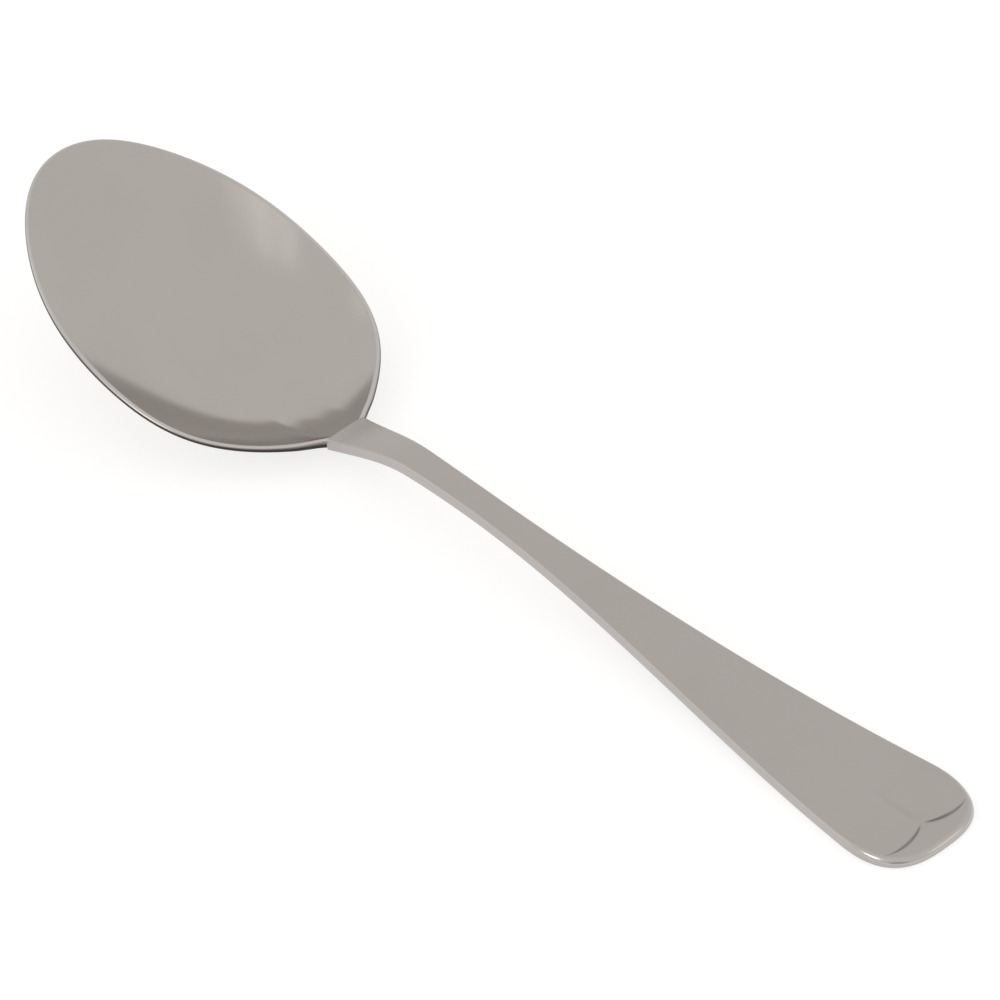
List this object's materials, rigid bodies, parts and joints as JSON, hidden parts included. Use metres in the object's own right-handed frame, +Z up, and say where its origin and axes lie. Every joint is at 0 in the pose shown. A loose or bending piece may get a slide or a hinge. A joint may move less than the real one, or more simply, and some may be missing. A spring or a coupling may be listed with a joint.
{
  "type": "dinner spoon",
  "caption": "Polished steel dinner spoon with a deep oval bowl and a flat, arched handle that narrows behind the bowl and flares to a round, lobed end.",
  "frame": {"origin": "on the plane the spoon rests on, under the middle of its box", "axes": "+X from the bowl towards the handle's end, +Y across the spoon, +Z up out of the bowl"},
  "size_m": [0.2, 0.0448, 0.0265],
  "materials": {
    "bowl_steel": "mirror polished, with faint wipe marks and hairline scratches",
    "handle_steel": "polished, with hairline scratches along its length"
  },
  "bodies": {
    "root": {"bowl": "bowl_steel", "handle": "handle_steel"}
  },
  "joints": []
}
